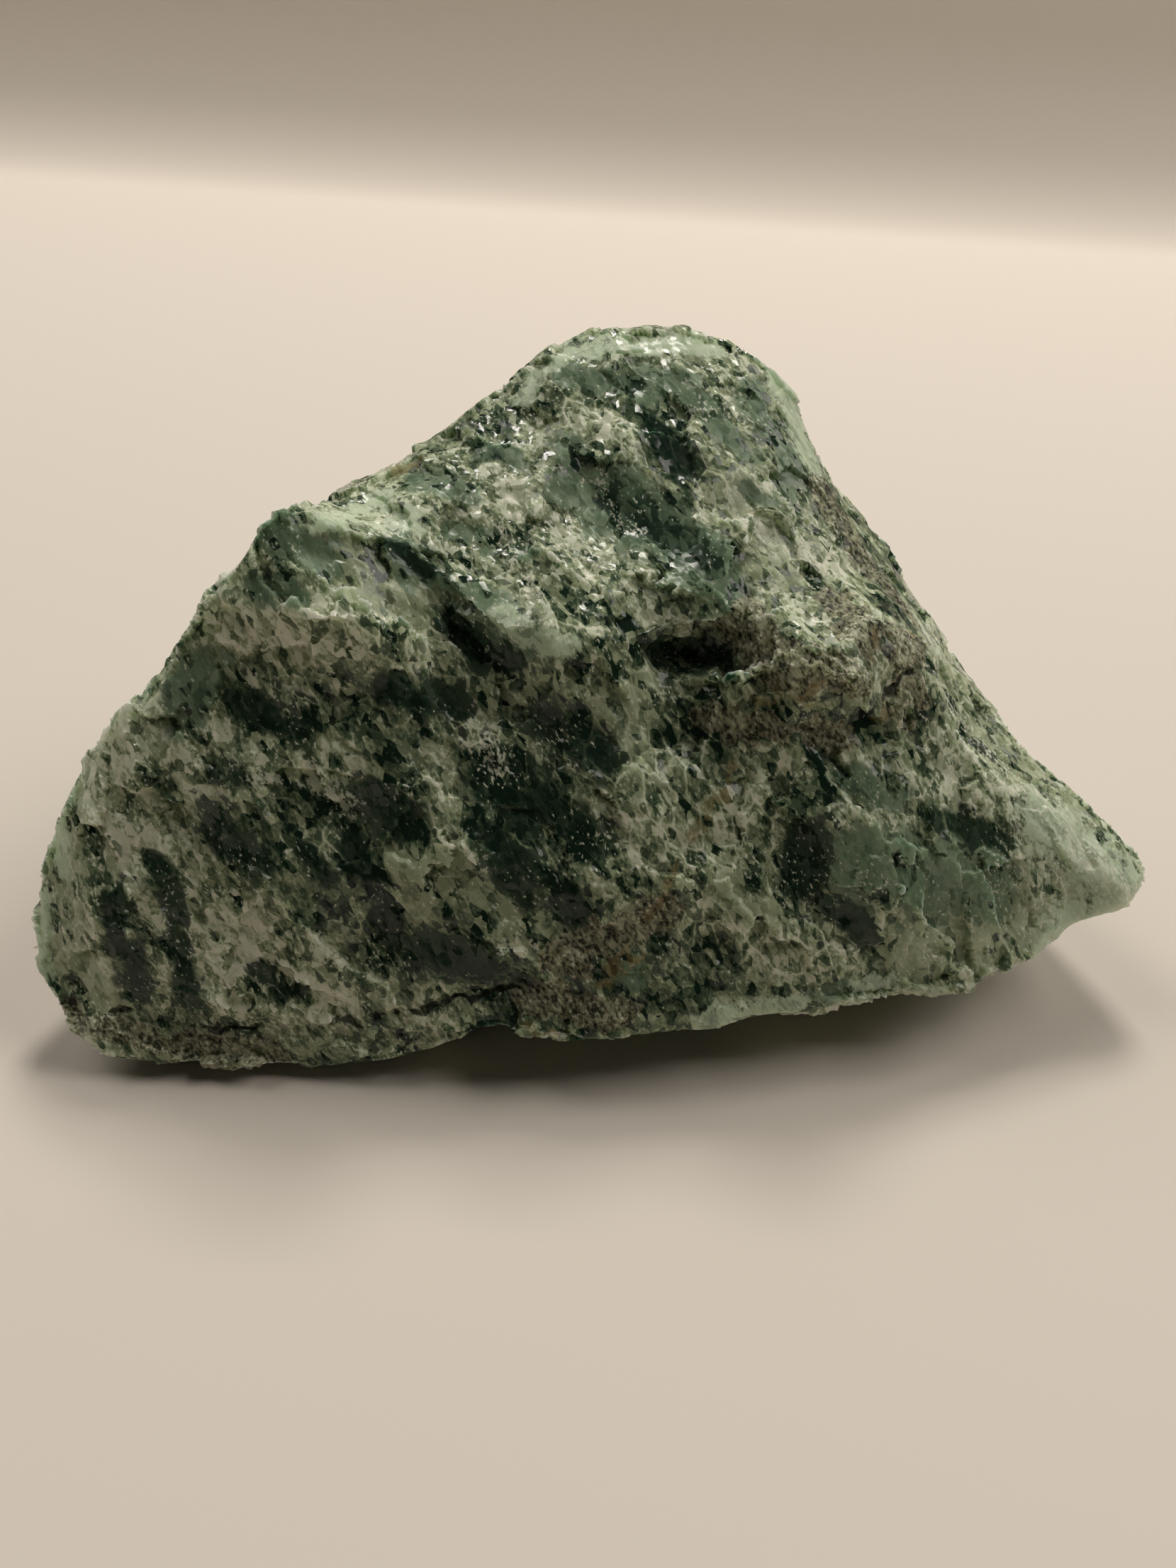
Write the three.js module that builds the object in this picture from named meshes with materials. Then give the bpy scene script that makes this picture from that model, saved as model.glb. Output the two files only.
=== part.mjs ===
// A hand-sized piece of rough green fluorite, broken off a massive vein: one solid.
// Millimetres, +X to the viewer's right, +Y away from the viewer, +Z up.
// The stone rests on a flat cleavage face at z = 0.
import * as THREE from "three";
import { ConvexHull } from "three/addons/math/ConvexHull.js";

// Driving dimensions.
const overallLength = 105; // left end to right tip, along X
const triangleCount = 9200; // the skin is divided until it has about this many
const chipCount = 560; // flat chips that the break left all over the stone
const chipLift = 0.4; // the most that a chip stands proud of the face, or lies back
const chipTilt = 0.1; // the most that a chip leans out of the face, as a slope
const chipInward = 0.7; // the most that a chip's plane may take off the skin
const chipOutward = 0.25; // the most that it may add
const chipStretch = 2.2; // a chip is this many times as long along the grain as across it
const crackWidth = 2.2; // of the earthy crack above the bottom edge
const crackDepth = 1.2;
const clearance = 0.5; // the least height of every point outside the resting face

// The stone's corners, chosen along its ridges and hollows. Each row runs from left to right.
const corners = {
  // Left end, climbing from its foot to the top of the shoulder.
  leftFlank: [
    [-52, -28, 10], [-51.5, -25.5, 15], [-49, -24, 20], [-47.5, -22.5, 24], [-45.5, -21, 28],
    [-41.5, -19.5, 31.8], [-39, -18.5, 34], [-37.8, -17.5, 37.5], [-35, -17, 41], [-32.8, -15.5, 43.8],
    [-30.2, -13.5, 46.3], [-27, -12, 46.4],
  ],
  // Top edge, from behind the shoulder over the summit and down to the right tip.
  crest: [
    [-28, -4, 43.5], [-25.5, -1.5, 44.8], [-22, 0.5, 46.6], [-18, 3, 48.2], [-14, 6.5, 50.4],
    [-11, 9.5, 52.4], [-7.5, 12.5, 54], [-2.5, 13, 55.2], [1.5, 14, 56], [4.5, 12.5, 55.3], [8.5, 13, 54.4],
    [11.5, 12, 53], [14, 12, 51], [15.5, 11, 49.5], [16.5, 8.5, 46.7], [18, 7.5, 44.8], [20.5, 6.5, 42.2],
    [28, 2.5, 34.5], [31.5, -0.5, 31], [38.5, -6, 24], [46.5, -10, 19], [51, -12, 16], [52.5, -13.5, 14],
  ],
  // Bottom edge of the front, hanging a few millimetres clear on the right.
  toe: [
    [-51, -30, 8], [-48, -33.5, 4.5], [-45, -34.5, 3], [-41.5, -34.5, 2], [-35, -34.2, 2], [-28.5, -34, 2],
    [-22.5, -33.5, 2.5], [-17, -33, 4], [-13.5, -32.5, 6], [-9.5, -32, 7.5], [-6, -33, 7.5],
    [-1.5, -32.5, 7], [9.5, -30.5, 7.3], [22.5, -27.5, 8], [35.5, -24.5, 8.5], [39.5, -22, 9.5],
    [43.5, -19, 10], [47.5, -16.5, 11.5], [51.5, -15.5, 12.5],
  ],
  // Blunt shoulder block at the upper left.
  shoulder: [
    [-29.5, -14.5, 44], [-34, -17.5, 38], [-27, -18, 40.5], [-24.5, -18.5, 37], [-21, -17.5, 39.5],
  ],
  // Lip of the upper slab, which overhangs the lower face.
  lip: [
    [-24, -12, 45], [-21.5, -11, 44], [-18, -11.5, 42], [-15, -13.5, 40.5], [-11.5, -16, 39],
    [-8, -17.5, 37.8], [-3.5, -17, 37.7], [0.5, -15, 38], [4, -13.5, 38.3], [8.5, -11.5, 39],
  ],
  // Hollow under that lip, deepest at its two ends.
  recess: [
    [-19, -12, 40.5], [-16, -12.5, 38], [-12, -14.5, 35], [-7.5, -17, 35.4], [-2.5, -17, 35.6],
    [2.4, -12.2, 34.4], [8, -11.5, 34.6],
  ],
  // Broad lower left face.
  leftFace: [
    [-41, -23, 27.5], [-33, -22.5, 29], [-24, -21.5, 30], [-16, -20, 30.3], [-9, -17.6, 31.3],
    [-44, -28, 17.5], [-36, -28, 18.5], [-27, -27, 20], [-17.5, -26.5, 21.5], [-9, -25.5, 22.5],
  ],
  // Line of the earthy crack above the bottom edge.
  crack: [
    [-48, -31, 7.7], [-38, -33, 5.5], [-28.5, -33, 5.4], [-21, -32.5, 6.5], [-15, -31.5, 9],
    [-8.5, -30.5, 11], [-2, -30.5, 10.5],
  ],
  // Veiled swelling down the middle of the front.
  swelling: [
    [-1.5, -19, 30], [4, -16.5, 31], [2.5, -22.7, 25.5], [10, -20.2, 25.8], [-0.5, -26.5, 20.5],
    [7, -25.5, 20.3], [1.5, -29.5, 12.5],
  ],
  // Crusted knob at the right end of the lip.
  knob: [
    [10.5, -9, 39.5], [10.5, -15.5, 35.5], [14.5, -7, 40], [15, -14.5, 38.5], [19, -8, 39],
    [20, -13.5, 37], [25.5, -7, 36.5], [25.5, -11, 34], [18, -16, 34.5], [22.5, -14, 32.5],
  ],
  // Gentler upper face between the lip and the crest.
  upperFace: [
    [-18, -3, 46], [-12, 0.5, 47.5], [-6, 4.5, 51.5], [1, 7, 52.5], [8.5, 7.5, 51.5], [-15.5, -8.5, 43],
    [-9, -7.5, 43], [-1.5, -3.5, 45.8], [6, -1.5, 46.8], [12, -0.5, 45.5], [-8, -13.5, 40.3],
    [-1, -11, 41], [6, -8, 42.6], [13, -4, 42.6], [20, -1.5, 40.3],
  ],
  // Edge between the front and the streaked right flank.
  rightEdge: [
    [29.5, -11, 29.5], [34.5, -13.5, 25], [38, -15, 21.5], [42.5, -15.5, 18.3], [47, -16, 15.2],
  ],
  // Lower right face.
  rightFace: [
    [12.5, -17, 31.5], [20, -15.5, 30], [16, -22, 24], [23, -20, 25], [30, -17, 23.5],
    [18, -25, 17.5], [25.5, -23.5, 18.3], [33.5, -19, 18.5], [39, -17.5, 16], [15.5, -27, 11.5],
    [24, -25, 11.5], [32.5, -22, 12.3], [39.5, -19.5, 12.2],
  ],
  // Upper back, just behind the crest.
  upperBack: [
    [-31, 3, 37], [-22, 11, 41], [-13, 17, 45], [-4, 21, 48], [4, 22, 49], [12, 19, 44.5],
    [21, 15, 36], [31, 10, 27], [40, 3, 19],
  ],
  // Ledge across the back, and the face below it.
  backLedge: [
    [-33, 8, 31], [-24, 17, 33], [-14, 24, 36], [-13, 27, 34], [-2, 27, 38], [-2, 30.5, 36], [8, 26, 36],
    [9, 29, 33.5], [18, 22, 28], [19, 24, 25],
  ],
  back: [
    [-43, -8, 24], [-40, 1, 18], [-29, 16, 24], [-19, 25, 23], [-8, 29, 25], [2, 31, 24], [12, 28, 22],
    [28, 16, 20], [39, 8, 14.5], [47, -2, 12],
  ],
  // Bottom edge of the back.
  heel: [
    [-49, -19, 10], [-46, -6, 9], [-40, 8, 8], [-30, 21, 9], [-17, 30, 8], [-3, 34, 11], [9, 33, 9],
    [20, 26, 8], [30, 19, 9], [40, 9, 8], [47, -3, 8.5],
  ],
  // Outline of the flat cleavage face that the stone rests on.
  rest: [
    [-41, -26, 0], [-31, -29.5, 0], [-21, -28, 0], [-9, -24, 0], [5, -21, 0], [17, -16, 0],
    [25, -7, 0], [22, 6, 0], [12, 18, 0], [-3, 24, 0], [-18, 21, 0], [-31, 11, 0], [-40, -3, 0],
    [-44, -16, 0],
  ],
};

// Small lumps and hollows: place, how far each reaches, and how much it rises.
const lumpsAndHollows = [
  // Shell-shaped chip at the foot of the shoulder, and the hollow below it.
  { at: [-27, -17.5, 39.5], reach: 5, rise: 1.2 },
  { at: [-23, -17.5, 39], reach: 4.5, rise: 1.2 },
  { at: [-24.5, -19.5, 35], reach: 5, rise: -1.4 },
  // Step that parts the pale rim of the summit from the face below.
  { at: [-8, 8.5, 53], reach: 3, rise: 0.6 },
  { at: [-3, 9, 53.5], reach: 3, rise: 0.6 },
  { at: [2, 9, 53.5], reach: 3, rise: 0.6 },
  // Dark hollows in the upper face.
  { at: [-5, 5.5, 52], reach: 5, rise: -1.2 },
  { at: [0, 6.5, 52.8], reach: 4.5, rise: -1.1 },
  { at: [2.5, -1.5, 49.6], reach: 4.5, rise: -1.4 },
  { at: [-4, -6, 44.2], reach: 5.5, rise: -1.3 },
  { at: [3, -7, 43.8], reach: 5.5, rise: -1.3 },
  { at: [-14, -9, 42.6], reach: 4.5, rise: -1 },
  // Sparkling blades beside them.
  { at: [-8, -5, 44], reach: 3.5, rise: 1.1 },
  { at: [-6, -9, 42.6], reach: 3.5, rise: 1 },
  { at: [0, -0.5, 48], reach: 3.5, rise: 1 },
  // Cave under the right end of the lip.
  { at: [1, -13.5, 35.8], reach: 4, rise: -1.5 },
  { at: [5.5, -12, 35.8], reach: 4.5, rise: -1.8 },
  // Knuckles of the crusted knob.
  { at: [11.5, -11.5, 38.6], reach: 4, rise: 1.3 },
  { at: [15.5, -16, 37.4], reach: 4, rise: 1.5 },
  { at: [21, -10.5, 38], reach: 4.5, rise: 1.4 },
  { at: [20, -15.5, 35.8], reach: 3.5, rise: 1.2 },
  { at: [16, -11, 40], reach: 3, rise: -0.8 },
  // Windows in the lower right face, in the shape of a bent V.
  { at: [16.5, -22.5, 21.5], reach: 4.5, rise: -1.4 },
  { at: [17, -24.5, 17.5], reach: 4, rise: -1.3 },
  { at: [21, -25, 15.5], reach: 4.5, rise: -1.3 },
  // Leaning ridges, hollows and pale knobs of the lower left face.
  { at: [-33, -23.5, 25], reach: 4.5, rise: 1 },
  { at: [-30.5, -26.5, 19.5], reach: 4.5, rise: 1.1 },
  { at: [-28, -29, 14], reach: 4.5, rise: 1.1 },
  { at: [-36, -31, 9.5], reach: 4.5, rise: 0.8 },
  { at: [-46, -24, 21], reach: 4.5, rise: 0.9 },
  { at: [-43, -28.5, 15], reach: 5, rise: 1 },
  { at: [-19, -23, 28], reach: 4, rise: 1 },
  { at: [-14, -26, 22.5], reach: 4, rise: 1.2 },
  { at: [-9, -29, 14.5], reach: 4, rise: 1.1 },
  { at: [-23, -25.5, 24], reach: 4.5, rise: -1.2 },
  { at: [-20, -29, 16], reach: 4.5, rise: -1.2 },
  { at: [-38, -26, 22], reach: 5, rise: -1.2 },
  { at: [-35, -29.5, 15], reach: 4.5, rise: -1.2 },
];

// A point well inside the stone, from which every corner can be seen.
const heart = new THREE.Vector3(-3, -4, 22);

// The grain of the vein: its blades lean down to the right and forward.
const grain = new THREE.Vector3(0.55, -0.4, -0.72).normalize();

// Repeatable random numbers from 0 to 1.
let seed = 71;
function random() {
  seed = (seed * 16807) % 2147483647;
  return seed / 2147483647;
}

// Joins the corners into one closed skin: the convex hull of their directions from the heart
// gives the triangles, and each corner then takes its true place.
function skinOf(points) {
  const directions = points.map((point, index) => {
    const direction = point.clone().sub(heart).normalize();
    direction.corner = index;
    return direction;
  });
  const triangles = [];
  for (const face of new ConvexHull().setFromPoints(directions).faces) {
    const first = face.edge;
    for (let edge = first.next; edge.next !== first; edge = edge.next) {
      triangles.push([first, edge, edge.next].map((corner) => corner.head().point.corner));
    }
  }
  return triangles;
}

// Splits every edge over the limit at its middle, the longest first and each triangle once.
function splitLongEdges(points, triangles, limit) {
  const edges = new Map();
  triangles.forEach((triangle, index) => {
    for (let i = 0; i < 3; i += 1) {
      const [a, b] = [triangle[i], triangle[(i + 1) % 3]].sort((p, q) => p - q);
      const edge = edges.get(`${a} ${b}`) ?? { a, b, sides: [], length: points[a].distanceTo(points[b]) };
      edge.sides.push(index);
      edges.set(`${a} ${b}`, edge);
    }
  });
  const tooLong = [...edges.values()].filter((edge) => edge.length > limit);
  tooLong.sort((p, q) => q.length - p.length);
  const split = new Set();
  for (const { a, b, sides } of tooLong) {
    if (sides.some((index) => split.has(index))) continue;
    const middle = points.push(points[a].clone().lerp(points[b], 0.5)) - 1;
    for (const index of sides) {
      const triangle = triangles[index];
      triangles.push(triangle.map((corner) => (corner === a ? middle : corner)));
      triangles[index] = triangle.map((corner) => (corner === b ? middle : corner));
      split.add(index);
    }
  }
}

// Outward normal at each point of the skin.
function normalsOf(points, triangles) {
  const skin = new THREE.BufferGeometry().setFromPoints(points);
  skin.setIndex(triangles.flat());
  skin.computeVertexNormals();
  return points.map((_, index) => new THREE.Vector3().fromBufferAttribute(skin.attributes.normal, index));
}

// Flattens the skin into chips, each a small plane of its own that meets the next in a step.
// Every point moves towards the heart or away from it, so the skin stays closed and unfolded.
function breakIntoChips(points, normals) {
  const acrossGrain = (point) => point.clone().addScaledVector(grain, (1 / chipStretch - 1) * grain.dot(point));
  const chips = Array.from({ length: chipCount }, () => {
    const index = Math.floor(random() * points.length);
    const lean = new THREE.Vector3(random() - 0.5, random() - 0.5, random() - 0.5);
    const normal = normals[index].clone().addScaledVector(lean, 2 * chipTilt).normalize();
    const lift = (random() - 0.5) * 2 * chipLift;
    return { centre: acrossGrain(points[index]), normal, height: normal.dot(points[index]) + lift };
  });
  for (const point of points) {
    const place = acrossGrain(point);
    const distances = chips.map((chip) => chip.centre.distanceToSquared(place));
    const chip = chips[distances.indexOf(Math.min(...distances))];
    const ray = point.clone().sub(heart).normalize();
    const toPlane = (chip.height - chip.normal.dot(point)) / Math.max(chip.normal.dot(ray), 0.3);
    point.addScaledVector(ray, THREE.MathUtils.clamp(toPlane, -chipInward, chipOutward));
  }
}

function raiseLumps(points, normals) {
  for (const { at, reach, rise } of lumpsAndHollows) {
    const centre = new THREE.Vector3(...at);
    points.forEach((point, index) => {
      const share = Math.min(point.distanceTo(centre) / reach, 1);
      point.addScaledVector(normals[index], rise * (1 - share * share) ** 2);
    });
  }
}

// Sinks the crack along its line of corners.
function openCrack(points, normals) {
  const line = corners.crack.map((corner) => new THREE.Vector3(...corner));
  const closest = new THREE.Vector3();
  points.forEach((point, index) => {
    const distances = line.slice(1).map((end, i) => {
      new THREE.Line3(line[i], end).closestPointToPoint(point, true, closest);
      return closest.distanceTo(point);
    });
    const share = Math.min(Math.min(...distances) / crackWidth, 1);
    point.addScaledVector(normals[index], -crackDepth * (1 - share));
  });
}

const points = Object.values(corners).flat().map((corner) => new THREE.Vector3(...corner));
const triangles = skinOf(points);
for (let limit = 24; triangles.length < triangleCount; limit *= 0.97) {
  splitLongEdges(points, triangles, limit);
}

const normals = normalsOf(points, triangles);
const unbroken = points.map((point) => point.clone());
breakIntoChips(points, normals);
raiseLumps(points, normals);
openCrack(points, normals);
points.forEach((point, index) => {
  const { z } = unbroken[index];
  if (z === 0) point.copy(unbroken[index]);
  point.z = Math.max(point.z, Math.min(z, clearance));
});

// Real size, standing on the middle of its footprint.
const geometry = new THREE.BufferGeometry().setFromPoints(points);
geometry.setIndex(triangles.flat());
geometry.computeBoundingBox();
const { min, max } = geometry.boundingBox;
geometry.translate(-(min.x + max.x) / 2, -(min.y + max.y) / 2, 0);
geometry.scale(...Array(3).fill(overallLength / (max.x - min.x)));
geometry.computeVertexNormals();

const greenStone = new THREE.MeshStandardMaterial({ color: 0x4c6654, roughness: 0.55, metalness: 0 });
const fluorite = new THREE.Mesh(geometry, greenStone);
fluorite.name = "fluorite";

const specimen = new THREE.Group();
specimen.add(fluorite);

export default specimen;
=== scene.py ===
"""Rough green fluorite: the broken surface of a hand specimen, on a plain table."""

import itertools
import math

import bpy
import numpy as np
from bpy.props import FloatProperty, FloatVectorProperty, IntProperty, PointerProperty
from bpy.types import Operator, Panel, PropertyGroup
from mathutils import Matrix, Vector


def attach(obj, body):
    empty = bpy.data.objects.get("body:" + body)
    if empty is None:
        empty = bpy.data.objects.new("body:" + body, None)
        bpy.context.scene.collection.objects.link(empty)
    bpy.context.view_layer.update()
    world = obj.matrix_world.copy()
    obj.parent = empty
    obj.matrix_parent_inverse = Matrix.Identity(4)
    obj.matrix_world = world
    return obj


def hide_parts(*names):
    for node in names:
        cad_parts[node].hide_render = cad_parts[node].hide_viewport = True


bl_info = {
    "name": "Rough fluorite specimen",
    "version": (1, 0, 0),
    "blender": (4, 5, 0),
    "location": "3D View > Sidebar > Fluorite",
    "description": "Makes the cleaved, frosted and crusted surface of a green fluorite specimen",
    "category": "Object",
}

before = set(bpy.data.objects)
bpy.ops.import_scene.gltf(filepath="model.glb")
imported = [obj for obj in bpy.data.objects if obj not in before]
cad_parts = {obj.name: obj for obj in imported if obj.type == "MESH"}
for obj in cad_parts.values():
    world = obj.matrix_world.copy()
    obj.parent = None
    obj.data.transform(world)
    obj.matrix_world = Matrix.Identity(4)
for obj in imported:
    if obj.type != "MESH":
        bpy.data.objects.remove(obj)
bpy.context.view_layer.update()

MM = 0.001
CAD_NODE = "fluorite"
STONE = "fluorite_stone"

# The grain of the vein: its blades lean down to the right and forward, and are longer than wide.
GRAIN = Vector((0.55, -0.4, -0.72)).normalized()
GRAIN_STRETCH = 1.8

# The way that the front of the stone faces.
FRONT = np.array((0, -0.9, 0.43))

# What lies where on the front, in millimetres, as seen on the real stone. Each stroke runs from one
# point to another and has a half width.
STROKES = {
    # Nearly black, glassy cleavage faces that show the depth of the stone.
    "dark_glass": [
        ((1, 3, 50), (3.5, 0, 47.5), 1.8),
        ((-2, -3, 45.5), (6, -8, 42), 1.4),
        ((-21, -11, 43), (-18.5, -11, 41.5), 0.9),
        ((-15, -13, 37), (-11, -15, 35.5), 1.6),
        ((2, -11.5, 35), (8, -11, 34.5), 1.9),
        ((-35, -23, 27.5), (-32, -23, 27), 1),
        ((-34.5, -25.5, 23), (-31, -27, 20.5), 1.8),
        ((-40, -26, 19.5), (-38, -28.5, 15), 1),
        ((-43.5, -28.5, 16.5), (-43, -30, 13), 1.3),
        ((-42, -30, 13), (-42, -31.5, 8), 1),
        ((-38.5, -29.5, 13), (-37, -32, 7.5), 1.1),
        ((-33.5, -19.5, 33), (-28, -21, 30.5), 1.4),
        ((-31.5, -30.5, 11), (-28, -31, 9), 0.9),
        ((-27.5, -25.5, 22), (-25, -27, 19.5), 1.1),
        ((-11.5, -20.5, 27.5), (-7.5, -22.5, 24.5), 2.3),
        ((-11.5, -24.5, 23.5), (-7.5, -26, 20), 1.8),
        ((-18, -28.5, 14), (-10.5, -29.5, 12.5), 1.5),
        ((-6.5, -17.5, 31.5), (-2, -19.5, 29), 1.9),
        ((-6.5, -22, 25.5), (-2.5, -24, 23), 1.9),
        ((-7, -26, 21), (-3, -27, 18), 1.5),
        ((-21, -18.5, 34), (-15, -17.5, 32), 1.6),
        ((-22, -23, 26), (-18.5, -24.5, 24.5), 1.5),
        ((-23, -25, 22), (-19, -27, 16), 1.2),
        ((16.5, -21.5, 23.5), (16.5, -22.5, 20.5), 1.9),
        ((17, -23, 18), (24, -24, 13.5), 1.3),
        ((27.5, -18, 24), (36, -16, 20), 1.1),
        ((31.5, -9.5, 28), (34.5, -10.5, 25.5), 0.8),
        ((26, -8.5, 34.5), (30, -8, 29.5), 0.7),
        ((37.5, -13, 22.5), (41.5, -14.5, 19.5), 0.9),
    ],
    # Smooth green faces, lit from within.
    "green_glass": [
        ((-7, 7.5, 52), (2, 7.5, 52), 1.6),
        ((-7, -2, 45.5), (-3, -4, 43.5), 1.8),
        ((-2, -3, 45.5), (6, -8, 42), 3.2),
        ((7.5, -6.5, 42.5), (8.5, -10, 40), 1.8),
        ((-16.5, -7, 43.5), (-10, -9, 42.5), 1.1),
        ((-18.5, -11, 41), (-12.5, -14.5, 39.5), 0.6),
        ((-7, 0.5, 48), (-7, -3, 45.5), 1.8),
        ((-19.5, -3, 46), (-16, -3.5, 45.5), 1.7),
        ((-14.5, 0.5, 47.5), (-11.5, -0.5, 47), 1),
        ((-30.5, -13.5, 45.5), (-26.5, -13.5, 43), 1.8),
        ((-31.5, -16.5, 42), (-28, -17, 41.5), 1.2),
        ((-20.5, -11, 43), (-14.5, -14, 40), 1.8),
        ((-14.5, -14, 40), (-10, -16, 38), 2),
        ((3, 6, 51.5), (6, 6, 51), 1.1),
        ((6.5, 4.5, 50), (9.5, 2.5, 48), 1.5),
        ((10, 8, 52), (14, 3, 47), 2),
        ((9.5, -0.5, 46), (14.5, -1, 43), 0.8),
        ((21, -22, 21), (35, -19, 17), 3.6),
        ((0, -28, 15), (2.5, -29.5, 11.5), 1),
        ((18, -27.5, 9.5), (22, -27, 9.5), 1),
        ((20, -18, 27), (25, -17.5, 25), 1.3),
        ((-38, -20, 30), (-36, -19, 35), 1.6),
    ],
    # Cloudy grey-green plates. Their pale grey is partly painted sheen.
    "satin_and_sheen": [
        ((-25.5, -12.5, 44.5), (-22, -13.5, 41.5), 1.8),
        ((-24, -16, 42), (-19, -13.5, 39.5), 1.5),
        ((-17.5, -12.5, 39), (-12.5, -14.5, 39.5), 1.2),
        ((-14, -17, 34), (2, -15, 33.5), 1.6),
        ((-4, -16, 33), (1, -19, 29.5), 2),
        ((-18, -26.5, 21.5), (-16.5, -28.5, 15), 1.8),
        ((-14, -26.5, 21), (-7.5, -29, 15.5), 1.5),
        ((-47, -30.5, 7.5), (-45, -31.5, 7.5), 1.5),
        ((19, -23, 20), (23, -23.5, 15.5), 1),
        ((9, -24, 20), (14, -24, 16), 1.6),
        ((4, -11, 33), (9, -15, 32), 1.6),
        ((12, -6, 42), (17, -6.5, 40), 1.6),
        ((28, -6, 33), (42, -11, 21), 3),
        ((26, -24, 12.5), (42, -18.5, 12.5), 3.2),
        ((-48, -24, 20), (-49, -29, 10), 3),
    ],
    # Bruised, splintered patches.
    "frost": [
        ((7, 11.5, 53.5), (9, 11.5, 53), 1.1),
        ((-6, 4, 50.5), (-3, 1.5, 49), 2),
        ((-14.5, -1.5, 46.5), (-10.5, -3.5, 45.5), 1.5),
        ((5, 0.5, 48), (10, -1, 45.5), 1.5),
        ((9.5, -0.5, 46), (13, -0.5, 44.5), 1.2),
        ((10, -4, 43.5), (19, -2.5, 40), 2),
        ((-8.5, -13.5, 40.5), (-3.5, -14.5, 39), 1.4),
        ((-34, -16.5, 40.5), (-32.5, -17, 37), 1.5),
        ((-32, -17, 40), (-27.5, -18.5, 38), 1.3),
        ((-26, -19, 39.5), (-21.5, -18, 39), 1.3),
        ((-18, -16.5, 36.5), (-15.5, -16, 35.5), 1.2),
        ((-48, -27.5, 15), (-46, -29, 13.5), 1.7),
        ((-32, -29.5, 12), (-27.5, -30.5, 10.5), 1.1),
        ((-27, -30, 14.5), (-24, -29.5, 13), 1.3),
        ((-34.5, -30.5, 11), (-33.5, -31.5, 5.5), 1.6),
        ((-26.5, -31.5, 8.5), (-22.5, -31.5, 8.5), 0.9),
        ((-31.5, -28.5, 15), (-28.5, -29.5, 15), 0.8),
        ((-27, -25, 23), (-25, -25.5, 21.5), 1.2),
        ((-25, -27, 20), (-23.5, -27.5, 17.5), 1.2),
        ((-13, -18.5, 30.5), (-11, -20.5, 27.5), 1.5),
        ((0.5, -23, 24), (7, -23, 22.5), 2.2),
        ((5, -19, 28.5), (10, -20.5, 24.5), 1.4),
        ((26, -16.5, 26), (32, -13.5, 25), 1.5),
        ((27.5, -23, 13), (38.5, -18, 14.5), 1.7),
        ((36, -21.5, 11), (40.5, -18.5, 12.5), 1.3),
        ((8.5, -26, 17.5), (20.5, -26, 11.5), 1.5),
        ((19.5, -16, 29), (22, -17, 27), 1.6),
        ((27.5, -12, 28.5), (31.5, -13, 26), 1.1),
        ((34.5, -13, 25), (37.5, -13, 22.5), 0.9),
        ((-46, -24, 23), (-44, -25.5, 21), 1.3),
        ((29, -22, 10), (42, -18.5, 10), 2),
        ((38, -18, 15), (47, -17, 12), 1.8),
    ],
    # Thin veils of healed cracks down the middle of the front.
    "veils": [
        ((-1, -18.5, 29.5), (1.5, -21.5, 27), 2.6),
        ((0.5, -23, 24), (8, -23, 22.5), 2.6),
        ((5, -18, 29.5), (10, -21, 24.5), 2.4),
        ((-1.5, -17, 32.5), (2, -14, 33.5), 1.7),
        ((8, -26, 17), (20, -26, 12), 2),
    ],
    # Pale, clear rims, and the glow of the light that comes through them, painted on as a pale colour.
    "mint_and_glow": [
        ((-12, 6.5, 50.5), (-7, 10.5, 53.5), 1.1),
        ((-7, 10.5, 53.5), (1.5, 11.5, 54.5), 1.6),
        ((1.5, 11.5, 54.5), (6, 12, 54), 1.3),
        ((13, 12, 51.5), (16.5, 6, 46.5), 2),
        ((-49, -22.5, 24), (-49, -26, 16.5), 1.3),
        ((-51, -26, 14), (-51.5, -29.5, 8.5), 1.3),
        ((-11, -15, 39.5), (-6, -16.5, 37.5), 1.5),
        ((-26, -12, 46), (-23.5, -4.5, 44.5), 1.6),
        ((-25, -8, 46), (-20, -8, 45), 1.8),
        ((8.5, -30, 8), (17, -28, 8.5), 1.2),
        ((39, -13, 20.5), (50, -15, 14), 3.4),
        ((43, -18, 12), (50.5, -16.5, 12), 2.6),
        ((26, -3.5, 36), (28.5, -5, 33.5), 1.2),
        ((41, -20, 10), (44, -19, 11), 1.1),
        ((23.5, -26, 9.5), (26.5, -25, 9.5), 1),
    ],
    # Grains of pinkish white powder.
    "dust": [
        ((-26.5, -22.5, 27.5), (-23.5, -23, 25), 1.7),
        ((-14.5, -25.5, 23), (-12.5, -26, 22), 1.3),
        ((-9.5, -29, 15), (-7.5, -29, 14.5), 1.2),
        ((-45.5, -24.5, 22.5), (-43.5, -25, 22), 1.4),
        ((-31, -23, 27), (-29.5, -23, 26.5), 0.9),
        ((22.5, -20, 25), (24, -19.5, 24), 1.1),
        ((-25.5, -31, 9.5), (-22.5, -31.5, 8.5), 1.1),
        ((-32.5, -18.5, 34.5), (-31.5, -19, 33.5), 0.8),
        ((-26, -29.5, 14.5), (-24.5, -29.5, 13), 1.3),
        ((-31, -30, 12), (-28, -30.5, 10.5), 0.9),
        ((-4, -28, 14), (-2, -28, 12), 1.1),
        ((43, -14.5, 18), (49, -16, 14), 1),
    ],
    # Grey-brown earthy crust.
    "crust": [
        ((9.5, -10.5, 38), (12.5, -15.5, 36), 2.2),
        ((13, -15, 37.5), (18.5, -15.5, 36), 2.3),
        ((19, -11.5, 38.5), (25.5, -9, 35.5), 2.3),
        ((17, 4.5, 44.5), (25.5, -3.5, 36.5), 1.9),
        ((18, -7.5, 39), (25.5, -12, 32), 2),
        ((7, -16, 31.5), (18.5, -15.5, 30.5), 1.7),
        ((-49.5, -32, 6), (-39, -33.5, 3.5), 1.3),
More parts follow.
